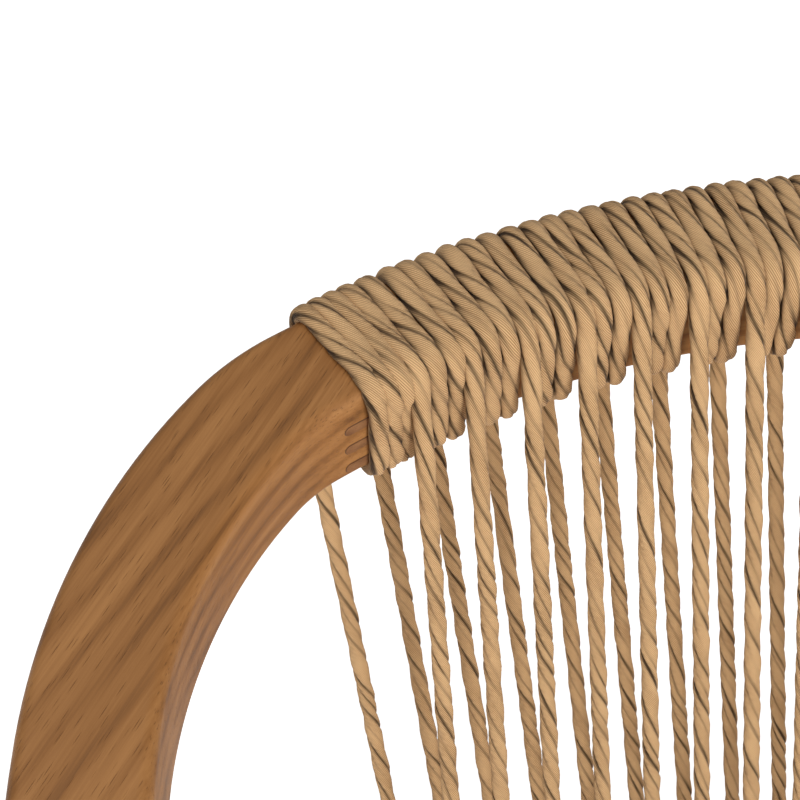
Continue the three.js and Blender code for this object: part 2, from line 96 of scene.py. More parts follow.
class Graph:
    """A material's node tree, with short calls to add and link nodes."""

    def __init__(self, name: str) -> None:
        """Start an empty material with a shader and an output."""
        self.material = bpy.data.materials.new(name)
        self.material.use_nodes = True
        self.tree = self.material.node_tree
        self.shader = self.tree.nodes["Principled BSDF"]

    def node(self, kind: str, inputs: Optional[dict] = None, **settings: object) -> bpy.types.Node:
        """Add a node, set its properties, and set or link its inputs.

        Args:
            kind: the node's type name without its ShaderNode prefix.
            inputs: a value or an output socket for each named or numbered input.
            settings: properties of the node itself.

        Returns:
            The new node.
        """
        made = self.tree.nodes.new("ShaderNode" + kind)
        for key, value in settings.items():
            setattr(made, key, value)
        for key, value in (inputs or {}).items():
            self.feed(made.inputs[key], value)
        return made

    def feed(self, socket: Socket, value: object) -> None:
        """Link a source to a socket, or set its constant; a plain colour is made opaque."""
        if isinstance(value, Socket):
            self.tree.links.new(value, socket)
        elif socket.type == "RGBA" and len(value) == 3:
            socket.default_value = (*value, 1)
        else:
            socket.default_value = value

    def noise(self, vector: Socket, scale: float, detail: float = 4,
              rough: float = 0.55) -> Socket:
        """Add a noise texture.

        Args:
            vector: the coordinates it is drawn in.
            scale, detail, rough: its size, its octaves and how strong the fine ones are.

        Returns:
            The noise's factor.
        """
        inputs = {"Vector": vector, "Scale": scale, "Detail": detail, "Roughness": rough}
        return self.node("TexNoise", inputs).outputs["Fac"]

    def scaled(self, vector: Socket, scale: Point3) -> Socket:
        """Scale coordinates along each axis."""
        return self.node("Mapping", {"Vector": vector, "Scale": scale}).outputs[0]

    def maths(self, operation: str, first: object, second: object = 0.0,
              third: object = 0.0) -> Socket:
        """Add a maths node and return its value."""
        return self.node("Math", {0: first, 1: second, 2: third}, operation=operation).outputs[0]

    def ramp(self, factor: Socket,
             stops: Sequence[tuple[float, Colour]]) -> Socket:
        """Add a colour ramp.

        Args:
            factor: the value that picks the colour.
            stops: places from 0 to 1, each with its colour.

        Returns:
            The ramp's colour.
        """
        made = self.node("ValToRGB", {"Fac": factor})
        elements = made.color_ramp.elements
        while len(elements) < len(stops):
            elements.new(0.5)
        for element, (place, colour) in zip(elements, stops):
            element.position = place
            element.color = (*colour, 1)
        return made.outputs["Color"]

    def mix(self, factor: object, first: object, second: object, blend: str = "MIX") -> Socket:
        """Mix two colours.

        Args:
            factor: share of the second colour, a number or a socket.
            first, second: colours, each a tuple or a socket.
            blend: the way they are blended.

        Returns:
            The mixed colour.
        """
        made = self.node("Mix", {0: factor}, data_type="RGBA", blend_type=blend)
        self.feed(made.inputs[6], first)
        self.feed(made.inputs[7], second)
        return made.outputs[2]

    def finish(self, colour: object, roughness: object, height: object = None, depth: float = 0.0005,
               strength: float = 0.5, **sockets: float) -> Material:
        """Feed the shader and return the material.

        Args:
            colour: base colour, a tuple or a socket.
            roughness: a number or a socket.
            height: a socket that drives the bump, or None.
            depth: bump distance in metres.
            strength: bump strength.
            sockets: constant values set on the shader's own sockets, spaces as underscores.

        Returns:
            The finished material.
        """
        self.feed(self.shader.inputs["Base Color"], colour)
        self.feed(self.shader.inputs["Roughness"], roughness)
        for name, value in sockets.items():
            self.shader.inputs[name.replace("_", " ")].default_value = value
        if height is not None:
            bump = self.node("Bump", {"Height": height, "Strength": strength, "Distance": depth})
            self.tree.links.new(bump.outputs["Normal"], self.shader.inputs["Normal"])
        return self.material


# ---------------------------------------------------------------- finishes


@dataclass(frozen=True)
class OiledTimber:
    """Oiled brown hardwood, sawn with its grain along one direction.

    Attributes:
        name: the material's name.
        grain: direction of the grain in the seat's own axes.
        offset: shifts the pattern, so that no two boards are alike.
        light, middle, dark: the three tones of the wood.
    """

    name: str
    grain: Point3
    offset: float = 0.0
    light: Colour = plain_colour(168, 118, 68)
    middle: Colour = plain_colour(142, 95, 50)
    dark: Colour = plain_colour(92, 57, 28)

    def build(self) -> Material:
        """Build the wood: growth lines, slow colour bands, fibres and pores."""
        graph = Graph(self.name)
        place = graph.node("TexCoord").outputs["Object"]
        turn = Vector(self.grain).normalized().rotation_difference(Vector((1, 0, 0))).to_euler()
        board = graph.node("Mapping", {
            "Vector": place,
            "Rotation": turn,
            "Location": (self.offset, 0.31 * self.offset, 0.17 * self.offset),
        }).outputs[0]

        def stretched(along: float, across: float) -> Socket:
            """Scale the board's coordinates along and across the grain."""
            return graph.scaled(board, (along, across, across))

        wander = graph.noise(stretched(3.0, 9.0), 1.0, 3)
        split = graph.node("SeparateXYZ", {0: board})
        heart = graph.maths("ADD", graph.maths("MULTIPLY", split.outputs[0], 0.10), 0.035)
        near = graph.maths("ADD", split.outputs[2], heart)
        radius = graph.maths("SQRT", graph.maths(
            "ADD", graph.maths("POWER", split.outputs[1], 2.0), graph.maths("POWER", near, 2.0)))
        wandering = graph.maths("MULTIPLY", wander, 17.0)
        rings = graph.maths("ADD", graph.maths("MULTIPLY", radius, 760.0), wandering)
        wave = graph.maths("MULTIPLY_ADD", graph.maths("SINE", rings), 0.5, 0.5)
        lines = graph.maths("POWER", wave, 2.2)
        bands = graph.noise(stretched(3.2, 95.0), 1.0, 7, 0.66)
        fibre = graph.noise(stretched(14.0, 900.0), 1.0, 3, 0.7)
        cells = graph.node("TexVoronoi", {"Vector": stretched(70.0, 1100.0), "Scale": 1.0})
        pores = cells.outputs["Distance"]
        pore = graph.node("MapRange", {"Value": pores, "From Min": 0.10, "From Max": 0.26}).outputs[0]
        tone = graph.maths("MULTIPLY_ADD", lines, -0.17, graph.maths("MULTIPLY_ADD", bands, 0.92, 0.02))
        tone = graph.maths("MULTIPLY_ADD", fibre, 0.36, tone)
        colour = graph.ramp(tone, [(0.22, self.dark), (0.52, self.middle), (0.78, self.light)])
        filled = graph.maths("MULTIPLY", graph.maths("SUBTRACT", 1.0, pore), 0.55)
        colour = graph.mix(filled, colour, self.dark)
        height = graph.maths("MULTIPLY_ADD", fibre, 0.4, pore)
        rough = graph.maths("MULTIPLY_ADD", fibre, 0.16, 0.46)
        return graph.finish(colour, rough, height, depth=0.0003, strength=0.35, Specular_IOR_Level=0.25)


@dataclass(frozen=True)
class TwistedTape:
    """Flat woven tan tape, twisted into a cord.

    Attributes:
        name: the material's name.
        ribs: woven ribs across the tape's unrolled width.
        slant: how far the ribs lean, in radians of their wave for each metre along the tape.
        light, middle, shade: the tone of the thread; the tone of its rib valleys and darker yarn, partly
            painted shade; and the painted shade of the deep folds and of the gaps between wound turns.
    """

    name: str = "twisted_tape"
    ribs: int = 30
    slant: float = -1700.0
    light: Colour = plain_colour(216, 177, 130)
    middle: Colour = plain_colour(138, 101, 62)
    # Painted shade colour, for the folds and the gaps between wound turns.
    shade: Colour = plain_colour(34, 20, 11)

    def build(self) -> Material:
        """Build the tape: fine ribs along it with painted shade in their valleys, uneven yarn colour, and
        painted shade in the folds and between wound turns.
        """
        graph = Graph(self.name)
        tape = graph.node("UVMap", uv_map="tape").outputs[0]
        parts = graph.node("SeparateXYZ", {0: tape})
        fold = graph.node("Attribute", attribute_name="fold").outputs["Fac"]
        yarn = graph.noise(graph.scaled(tape, (18.0, 160.0, 1.0)), 1.0, 3)
        patch = graph.noise(graph.scaled(tape, (2.0, 30.0, 1.0)), 1.0, 3)
        leaning = graph.maths("MULTIPLY", parts.outputs[1], self.slant)
        skew = graph.maths("MULTIPLY_ADD", yarn, 2.4, leaning)
        phase = graph.maths("MULTIPLY_ADD", parts.outputs[0], 2 * math.pi * self.ribs, skew)
        wave = graph.maths("SINE", phase)
        rib = graph.maths("MULTIPLY_ADD", wave, 0.5, 0.5)
        # Rib valleys darker than the crests: painted shade in the valleys; the patches are uneven yarn
        # colour.
        tone = graph.maths("MULTIPLY_ADD", rib, 0.62, graph.maths("MULTIPLY_ADD", patch, 0.8, -0.14))
        colour = graph.ramp(tone, [(0.12, self.middle), (0.72, self.light)])
        # Painted shade: the fold attribute darkens the creases and the gaps between wound turns towards the
        # shade colour.
        deep = graph.maths("MULTIPLY", graph.maths("POWER", fold, 1.5), 0.93)
        colour = graph.mix(deep, colour, self.shade)
        return graph.finish(colour, 0.78, rib, depth=0.00035, strength=0.55,
                            Sheen_Weight=0.04, Sheen_Roughness=0.5, Specular_IOR_Level=0.12)


@dataclass(frozen=True)
class GlueLine:
    """The thin dark line of glue round a finger.

    Attributes:
        name: the material's name.
        colour: its plain colour.
    """

    name: str = "glue_line"
    colour: Colour = plain_colour(86, 56, 36)

    def build(self) -> Material:
        """Build the glue: dark, slightly uneven, satin."""
        graph = Graph(self.name)
        mottle = graph.noise(graph.node("TexCoord").outputs["Object"], 900.0, 3)
        colour = graph.ramp(mottle, [(0.3, self.colour), (0.7, tuple(1.35 * part for part in self.colour))])
        return graph.finish(colour, 0.5, mottle, depth=0.0001, strength=0.3)


@dataclass(frozen=True)
class BrushedBolt:
    """Brushed stainless steel for the bolt heads.

    Attributes:
        name: the material's name.
        colour: its plain colour.
    """

    name: str = "brushed_bolt"
    colour: Colour = plain_colour(176, 177, 178)

    def build(self) -> Material:
        """Build the steel: fine turned scratches in its roughness and bump."""
        graph = Graph(self.name)
        place = graph.node("TexCoord").outputs["Object"]
        scratch = graph.noise(graph.scaled(place, (60.0, 2600.0, 900.0)), 1.0, 4)
        rough = graph.maths("MULTIPLY_ADD", scratch, 0.25, 0.22)
        return graph.finish(self.colour, rough, scratch, depth=0.00005, strength=0.3, Metallic=1.0)


@dataclass(frozen=True)
class MouldedNylon:
    """Dark moulded nylon of the floor glides.

    Attributes:
        name: the material's name.
        colour: its plain colour.
    """

    name: str = "moulded_nylon"
    colour: Colour = plain_colour(44, 42, 40)

    def build(self) -> Material:
        """Build the nylon: a fine spark-eroded grain, with scuffs in random patches."""
        graph = Graph(self.name)
        place = graph.node("TexCoord").outputs["Object"]
        grain = graph.noise(place, 1800.0, 2)
        scuff = graph.noise(place, 140.0, 4)
        worn = tuple(2.2 * part for part in self.colour)
        colour = graph.ramp(scuff, [(0.45, self.colour), (0.8, worn)])
        rough = graph.maths("MULTIPLY_ADD", scuff, 0.3, 0.4)
        return graph.finish(colour, rough, grain, depth=0.0001, strength=0.3)


# ---------------------------------------------------------------- mesh helpers


def linked(name: str, data: bpy.types.ID) -> bpy.types.Object:
    """Make an object of some data and link it into the scene."""
    made = bpy.data.objects.new(name, data)
    bpy.context.scene.collection.objects.link(made)
    return made


def new_piece(name: str, vertices: np.ndarray, faces: Sequence[Sequence[int]],
              material: Material, smooth_angle: float = 50.0) -> bpy.types.Object:
    """Make an object from vertices and faces, smooth-shaded up to an angle.

    Args:
        name: the object's name.
        vertices: an array of points in metres.
        faces: vertex numbers of each face.
        material: its finish.
        smooth_angle: edges sharper than this many degrees stay crisp.

    Returns:
        The new object, linked into the scene.
    """
    mesh = bpy.data.meshes.new(name)
    points = [tuple(map(float, vertex)) for vertex in vertices]
    mesh.from_pydata(points, [], [tuple(map(int, face)) for face in faces])
    mesh.validate()
    work = bmesh.new()
    work.from_mesh(mesh)
    bmesh.ops.recalc_face_normals(work, faces=work.faces)
    work.to_mesh(mesh)
    work.free()
    mesh.shade_smooth()
    mesh.set_sharp_from_angle(angle=math.radians(smooth_angle))
    mesh.materials.append(material)
    return linked(name, mesh)


def lofted(rings: np.ndarray, first: int = 0) -> tuple[np.ndarray, list[tuple[int, ...]]]:
    """Skin a stack of rings and cap both ends.

    Args:
        rings: array of rings by points by three.
        first: the number that the first vertex gets.

    Returns:
        The vertices and the faces.
    """
    count, around = rings.shape[:2]
    faces = []
    for ring in range(count - 1):
        low, high = first + ring * around, first + (ring + 1) * around
        for side in range(around):
            after = (side + 1) % around
            faces.append((low + side, low + after, high + after, high + side))
    faces.append(tuple(first + side for side in reversed(range(around))))
    faces.append(tuple(first + (count - 1) * around + side for side in range(around)))
    return rings.reshape(-1, 3), faces


def merged(parts: Iterable[np.ndarray]) -> tuple[np.ndarray, list[tuple[int, ...]]]:
    """Skin several stacks of rings into one list of vertices and faces.

    Args:
        parts: arrays of rings by points by three.

    Returns:
        The vertices and the faces.
    """
    vertices, faces, start = [], [], 0
    for rings in parts:
        points, skin = lofted(rings, start)
        vertices.append(points)
        faces.extend(skin)
        start += len(points)
    return np.concatenate(vertices), faces


# ---------------------------------------------------------------- the hoops


@dataclass(frozen=True)
class Arc:
    """One arc of a hoop's inner edge.

    Attributes:
        radius: its radius in metres.
        end: the angle where it ends, in radians from the middle of the back.
    """

    radius: float
    end: float


@dataclass
class Hoop:
    """A hoop's inner edge: arcs that follow one another on a sloping plane, mirrored left to right.

    Attributes:
        arcs: the arcs of one half, from the middle of the back forwards.
        slope: rise towards the back, in radians.
        origin: inner back edge of the top face, in the middle.
        section: width of the square stock.
        centres: each arc's centre on the plane, across and towards the back; filled in here.
    """

    arcs: Sequence[Arc]
    slope: float
    origin: np.ndarray
    section: float = 45 * MM
    centres: list[Point2] = field(default_factory=list)

    def __post_init__(self) -> None:
        """Work out each arc's centre."""
        centre, start = (0.0, -self.arcs[0].radius), 0.0
        self.back = np.array([0, math.cos(self.slope), math.sin(self.slope)])
        self.down = np.array([0, math.sin(self.slope), -math.cos(self.slope)])
        for number, arc in enumerate(self.arcs):
            if number:
                shift = self.arcs[number - 1].radius - arc.radius
                centre = (centre[0] + shift * math.sin(start), centre[1] + shift * math.cos(start))
            self.centres.append(centre)
            start = arc.end

    def point(self, angle: float, out: float, depth: float) -> np.ndarray:
        """Find a point by its angle round the hoop, its distance out of the inner edge and its depth.

        Args:
            angle: radians from the middle of the back, negative to the left.
            out: metres outwards from the inner edge.
            depth: metres down from the top face.

        Returns:
            The point in metres.
        """
        size, side = abs(angle), (-1.0 if angle < 0 else 1.0)
        number = next((i for i, arc in enumerate(self.arcs) if size <= arc.end), len(self.arcs) - 1)
        reach = self.arcs[number].radius + out
        across = (self.centres[number][0] + reach * math.sin(size)) * side
        deep = self.centres[number][1] + reach * math.cos(size)
        return self.origin + np.array([across, 0, 0]) + self.back * deep + self.down * depth

    def heading(self, angle: float) -> Point3:
        """Give the direction along the hoop at an angle."""
        along = np.array([math.cos(angle), 0, 0]) - self.back * math.sin(angle)
        return tuple(float(part) for part in along)


def rounded_square(size: float, radius: float, steps: int = 6) -> list[Point2]:
    """List the points of a square with rounded corners.

    Args:
        size: width of the square, which starts at zero.
        radius: radius of its corners.
        steps: sides of each corner.

    Returns:
        The points, anticlockwise.
    """
    points = []
    for quarter, (u, v) in enumerate([(1, 1), (0, 1), (0, 0), (1, 0)]):
        centre = (radius + u * (size - 2 * radius), radius + v * (size - 2 * radius))
        for step in range(steps + 1):
            angle = (quarter + step / steps) * math.pi / 2
            points.append((centre[0] + radius * math.cos(angle), centre[1] + radius * math.sin(angle)))
    return points


@dataclass
class ArmHoop:
    """The arm hoop: five sawn pieces, finger-jointed end to end.

    Attributes:
        hoop: the inner edge it follows.
        back_end, arm_start, arm_end: joint shoulders and arm tip, in radians.
        arris: radius of the long edges.
        finger_width, finger_length: size of one finger.
        finger_depths: depth of each finger's centre line below the top face.
        proud: how far a finger stands out of the faces, so that it shows.
        glue: width of the glue line round a finger.
        tuck: how far the back rail ends short of its shoulder, inside the wraps, in radians.
    """

    hoop: Hoop
    back_end: float = math.radians(25.4)
    arm_start: float = math.radians(83.6)
    arm_end: float = math.radians(97.5)
    arris: float = 5 * MM
    finger_width: float = 4.4 * MM
    finger_length: float = 24 * MM
    finger_depths: Sequence[float] = (16 * MM, 27 * MM, 38 * MM)
    proud: float = 0.3 * MM
    glue: float = 0.35 * MM
    tuck: float = 0.04

    def sweep(self, start: float, end: float, step: float = math.radians(1.5)) -> np.ndarray:
        """Sweep the stock's section along the hoop.

        Args:
            start, end: angles of the first and the last ring.
            step: angle from ring to ring, at most.

        Returns:
            The rings.
        """
        outline = rounded_square(self.hoop.section, self.arris)
        count = max(2, int(abs(end - start) / step) + 1)
        return np.array([[self.hoop.point(angle, u, v) for u, v in outline]
                         for angle in np.linspace(start, end, count)])

    def finger(self, shoulder: float, direction: float, depth: float, margin: float,
               proud: float) -> np.ndarray:
        """Shape one finger: a bar with a round tip, right through the hoop.

        Args:
            shoulder: angle where the finger's tip lies.
            direction: sign of the angle's change from the tip back to its root.
            depth: centre line below the top face.
            margin: extra size all round, for the glue line.
            proud: how far both ends stand out of the faces.

        Returns:
            Two rings, on the inner and the outer face.
        """
        half = self.finger_width / 2 + margin
        radius = next(arc.radius for arc in self.hoop.arcs if abs(shoulder) <= arc.end)
        bend = np.linspace(-math.pi / 2, math.pi / 2, 13)
        tip = [(half - half * math.cos(angle), half * math.sin(angle)) for angle in bend]
        outline = [(along - margin, across) for along, across in tip]
        sides = np.linspace(half, self.finger_length, 6)
        outline += [(along, half) for along in sides[1:]] + [(along, -half) for along in sides[:0:-1]]
        return np.array([[self.hoop.point(shoulder + direction * along / radius, out, depth + across)
                          for along, across in outline]
                         for out in (-proud, self.hoop.section + proud)])

    def build(self) -> None:
        """Build the five pieces and the fingers that show, and put them in place of the plain ones."""
        rail_end = self.back_end - self.tuck
        plan = [
            ("top_back_rail", -rail_end, rail_end, 0.0, 0.0),
            ("left_top_corner", -self.arm_start, -rail_end, math.radians(-54), 0.9),
            ("right_top_corner", rail_end, self.arm_start, math.radians(54), 1.7),
            ("left_arm", -self.arm_end, -self.arm_start, math.radians(-87), 2.3),
            ("right_arm", self.arm_start, self.arm_end, math.radians(87), 3.1),
        ]
        for name, start, end, lie, offset in plan:
            wood = OiledTimber(f"timber_{name}", self.hoop.heading(lie), offset).build()
            vertices, faces = lofted(self.sweep(start, end))
            piece = new_piece(f"{name}_timber", vertices, faces, wood)
            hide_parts(name)
            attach(piece, "root")
            LOG.info("%s: %d faces", name, len(faces))
        self.build_fingers()

    def build_fingers(self) -> None:
        """Build the fingers of the four joints, each with its line of glue."""
        inlay = OiledTimber("timber_fingers", (1, 0, 0), 4.2, dark=plain_colour(92, 58, 36),
                            middle=plain_colour(122, 82, 52), light=plain_colour(150, 106, 68)).build()
        glue = GlueLine().build()
        layers = (("fingers", 0.0, self.proud, inlay), ("finger_glue", self.glue, self.proud / 3, glue))
        for side in Side:
            for shoulder, word in ((self.back_end, "back"), (self.arm_start, "arm")):
                for label, margin, proud, finish in layers:
                    parts = [self.finger(side.value * shoulder, -side.value, depth, margin, proud)
                             for depth in self.finger_depths]
                    vertices, faces = merged(parts)
                    name = f"{side.word}_{word}_{label}"
                    piece = new_piece(name, vertices, faces, finish)
                    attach(piece, "root")
                    LOG.info("%s: %d faces", name, len(faces))


# ---------------------------------------------------------------- the tape


@dataclass(frozen=True)
class Crease:
    """One of the folds that run along a twisted tape.

    Attributes:
        start: where it lies round the cord, in radians.
        strength: its depth, as a share of a full fold.
        narrow: its width, in radians.
    """

    start: float
    strength: float
    narrow: float


@dataclass
class TapeSkin:
    """Skins a run of twisted tape along a track.

    Attributes:
        width, thick: the cord's size across and out of the surface that it lies on.
        turn, wrapped_turn: length of one full twist between the rails, and where it is wound on one.
        slack: girth of the tape between the rails, as a share of its girth on them.
        around: points round the cord.
        step: distance between rings.
        fold_depth: depth of the folds, as a share of the radius.
        soften: rings over which a corner of the track is rounded off.
        creases: the folds of the tape.
    """

    width: float = 8.3 * MM
    thick: float = 6.6 * MM
    turn: float = 42 * MM
    wrapped_turn: float = 64 * MM
    slack: float = 0.84
    around: int = 26
    step: float = 2.0 * MM
    fold_depth: float = 0.24
    soften: int = 5
    creases: Sequence[Crease] = (Crease(0.0, 1.0, 0.25), Crease(1.7, 0.6, 0.2),
                                 Crease(3.0, 0.95, 0.27), Crease(4.6, 0.6, 0.2))

    def skin(self, track: np.ndarray, outward: np.ndarray, girth: np.ndarray,
             seed: int) -> dict[str, np.ndarray]:
        """Skin one run of tape.

        Args:
            track: points of the centre line.
            outward: for each point, the way that faces away from what the tape lies on.
            girth: for each point, the cord's size as a share of the full one.
            seed: settles this run's small irregularities.

        Returns:
            Arrays of vertices, faces, tape coordinates by face corner, painted shade of the folds and of
            the gaps between wound turns by vertex, and the numbers of the first and the last ring.
        """
        chance = np.random.default_rng(seed)
        run = np.concatenate([[0], np.cumsum(np.linalg.norm(np.diff(track, axis=0), axis=1))])
        count = max(8, int(run[-1] / self.step) + 1)
        along = np.linspace(0, run[-1], count)
        place = np.stack([np.interp(along, run, track[:, axis]) for axis in range(3)], axis=1)
        face = np.stack([np.interp(along, run, outward[:, axis]) for axis in range(3)], axis=1)
        place, face = self.softened(place), self.softened(face)
        slim = np.interp(along, run, girth)[:, None]
        ahead = np.gradient(place, axis=0)
        ahead /= np.linalg.norm(ahead, axis=1, keepdims=True)
        face -= np.sum(face * ahead, axis=1, keepdims=True) * ahead
        face /= np.linalg.norm(face, axis=1, keepdims=True)
        across = np.cross(ahead, face)

        def drift(size: float, length: float) -> np.ndarray:
            """Make a slow random drift along the run."""
            knots = np.arange(0, run[-1] + 2 * length, length)
            return np.interp(along, knots, chance.normal(0, size, len(knots)))

        round_tape = 2 * math.pi * np.arange(self.around) / self.around
        tape = np.broadcast_to(round_tape, (count, self.around))
        wound = np.clip((slim[:, 0] - self.slack) / (1 - self.slack), 0, 1)
        rate = 1 / (self.turn + (self.wrapped_turn - self.turn) * wound)
        turned = np.concatenate([[0], np.cumsum(rate[1:] * np.diff(along))])
        twist = 2 * math.pi * (turned + chance.random()) + drift(0.5, 0.03)
        spot = tape + twist[:, None]
        folds = np.zeros_like(tape)
        lean = np.zeros_like(tape)
        # Each crease dents the skin, and the same profile sets the painted shade in that crease.
        for crease in self.creases:
            centre = crease.start + drift(0.16, 0.04)
            gap = (tape - centre[:, None] + math.pi) % (2 * math.pi) - math.pi
            deep = np.clip(crease.strength + drift(0.35, 0.022), 0.1, 1.4)[:, None]
            folds = folds + deep * np.exp(-(gap / crease.narrow) ** 2)
            lean = lean + deep * np.where(gap > 0, np.exp(-gap / 0.6), 0.0)
        folds = np.clip(folds, 0, 1.4)
        # Painted shade on the sides of wound turns, where each presses against its neighbours.
        painted_contact_shade = 0.75 * wound[:, None] * np.abs(np.cos(spot)) ** 7
        flat = 0.07 * np.cos(2 * tape)
        relief = self.fold_depth * (0.4 * lean - folds)
        reach = slim * (0.98 + flat + relief + drift(0.02, 0.01)[:, None])
        wide = across[:, None, :] * ((self.width / 2) * np.cos(spot) * reach)[..., None]
        high = face[:, None, :] * ((self.thick / 2) * np.sin(spot) * reach)[..., None]
        points = place[:, None, :] + wide + high
        share = tape / (2 * math.pi)
        length = np.broadcast_to(along[:, None] + 0.37 * seed, share.shape)
        # The folds entry is painted shade: crease shade plus the shade between wound turns.
        return {"points": points.reshape(-1, 3), "faces": self.quads(count),
                "corners": self.tape_corners(share, length),
                "folds": np.clip(folds + painted_contact_shade, 0, 1).reshape(-1),
                "ends": np.array([0, count - 1])}

    def quads(self, count: int) -> np.ndarray:
        """List the faces between a number of rings, four vertex numbers each."""
        ring, side = np.meshgrid(np.arange(count - 1), np.arange(self.around), indexing="ij")
        after = (side + 1) % self.around
        low = ring * self.around
        high = low + self.around
        return np.stack([low + side, low + after, high + after, high + side], axis=-1).reshape(-1, 4)

    def tape_corners(self, share: np.ndarray, length: np.ndarray) -> np.ndarray:
        """List every face corner's place on the flat tape.

        Args:
            share: each vertex's place across the tape, from 0 to 1.
            length: each vertex's place along the tape, in metres.

        Returns:
            Pairs of share and length, in the order of the faces' corners.
        """
        beside = 1 / self.around
        first, second = share[:-1], share[1:]
        near, far = length[:-1], length[1:]
        return np.stack([
            np.stack([first, near], -1), np.stack([first + beside, near], -1),
            np.stack([second + beside, far], -1), np.stack([second, far], -1),
        ], axis=2).reshape(-1, 2)

    def softened(self, values: np.ndarray) -> np.ndarray:
        """Round off the corners of a track by a short moving average."""
        margin = self.soften // 2
        head, tail = np.repeat(values[:1], margin, 0), np.repeat(values[-1:], margin, 0)
        padded = np.concatenate([head, values, tail])
        kernel = np.ones(self.soften) / self.soften
        columns = [np.convolve(column, kernel, "valid") for column in padded.T]
        return np.stack(columns, axis=1)


def tape_piece(name: str, skins: Sequence[dict[str, np.ndarray]], around: int,
               material: Material) -> bpy.types.Object:
    """Join runs of tape into one object, with flat ends.

    Args:
        name: the object's name.
        skins: runs made by TapeSkin.skin.
        around: points round each run.
        material: the tape's finish.

    Returns:
        The new object.
    """
    start, points, faces, corners, folds, caps = 0, [], [], [], [], []
    for skin in skins:
        points.append(skin["points"])
        faces.append(skin["faces"] + start)
        corners.append(skin["corners"])
        folds.append(skin["folds"])
        for ring, order in ((skin["ends"][0], -1), (skin["ends"][1], 1)):
            caps.append((start + ring * around + np.arange(around))[::order])
        start += len(skin["points"])
    quads = np.concatenate(faces)
    vertices = np.concatenate(points)
    mesh = bpy.data.meshes.new(name)
    mesh.vertices.add(len(vertices))
    mesh.vertices.foreach_set("co", vertices.astype(np.float32).ravel())
    loops = np.concatenate([quads.ravel(), *caps])
    sizes = np.concatenate([np.full(len(quads), 4), np.full(len(caps), around)])
    mesh.loops.add(len(loops))
    mesh.loops.foreach_set("vertex_index", loops.astype(np.int32))
    mesh.polygons.add(len(sizes))
    mesh.polygons.foreach_set("loop_start", np.concatenate([[0], np.cumsum(sizes)[:-1]]).astype(np.int32))
    mesh.update(calc_edges=True)
    layer = mesh.uv_layers.new(name="tape")
    spare = np.zeros((len(caps) * around, 2))
    layer.data.foreach_set("uv", np.concatenate([*corners, spare]).astype(np.float32).ravel())
    # Painted shade of the creases and of the gaps between turns, read by the tape's colour.
    depth = mesh.attributes.new("fold", "FLOAT", "POINT")
    depth.data.foreach_set("value", np.concatenate(folds).astype(np.float32))
    mesh.shade_smooth()
    mesh.materials.append(material)
    return linked(name, mesh)


@dataclass
class WrapTrack:
    """The way round a square rail that the tape takes.

    Attributes:
        section, arris: the rail's width and the radius of its edges.
        lift: from the wood to the middle of the tape.

    It works out spots and faces, the outline's points and the ways they face; share, each point's
    turn; and length, the distance once round.
    """

    section: float = 45 * MM
    arris: float = 5 * MM
    lift: float = 3.3 * MM

    def __post_init__(self) -> None:
        """List the outline from the upper inner corner, over the top, outside, underneath and inside."""
        size, inset, reach = self.section, self.arris, self.arris + self.lift
        far = size - inset
        spots, faces = [], []
        for quarter, centre in enumerate([(inset, inset), (far, inset), (far, far), (inset, far)]):
            for angle in np.radians(np.linspace(180, 270, 9) + 90 * quarter):
                spots.append((centre[0] + reach * math.cos(angle), centre[1] + reach * math.sin(angle)))
                faces.append((math.cos(angle), math.sin(angle)))
        spots.append(spots[0])
        faces.append(faces[0])
        self.spots, self.faces = np.array(spots), np.array(faces)
        run = np.concatenate([[0], np.cumsum(np.linalg.norm(np.diff(self.spots, axis=0), axis=1))])
        self.length = float(run[-1])
        middle = run[4]
        self.share = (run - middle) / self.length

    def at(self, turns: float) -> tuple[Point2, Point2]:
        """Find a place on the outline.

        Args:
            turns: turns from the middle of the upper inner corner.

        Returns:
            Distance out and down, and the outward direction there.
        """
        share = (turns - self.share[0]) % 1.0 + self.share[0]
        spot = [float(np.interp(share, self.share, self.spots[:, axis])) for axis in (0, 1)]
        face = [float(np.interp(share, self.share, self.faces[:, axis])) for axis in (0, 1)]
        return (spot[0], spot[1]), (face[0], face[1])


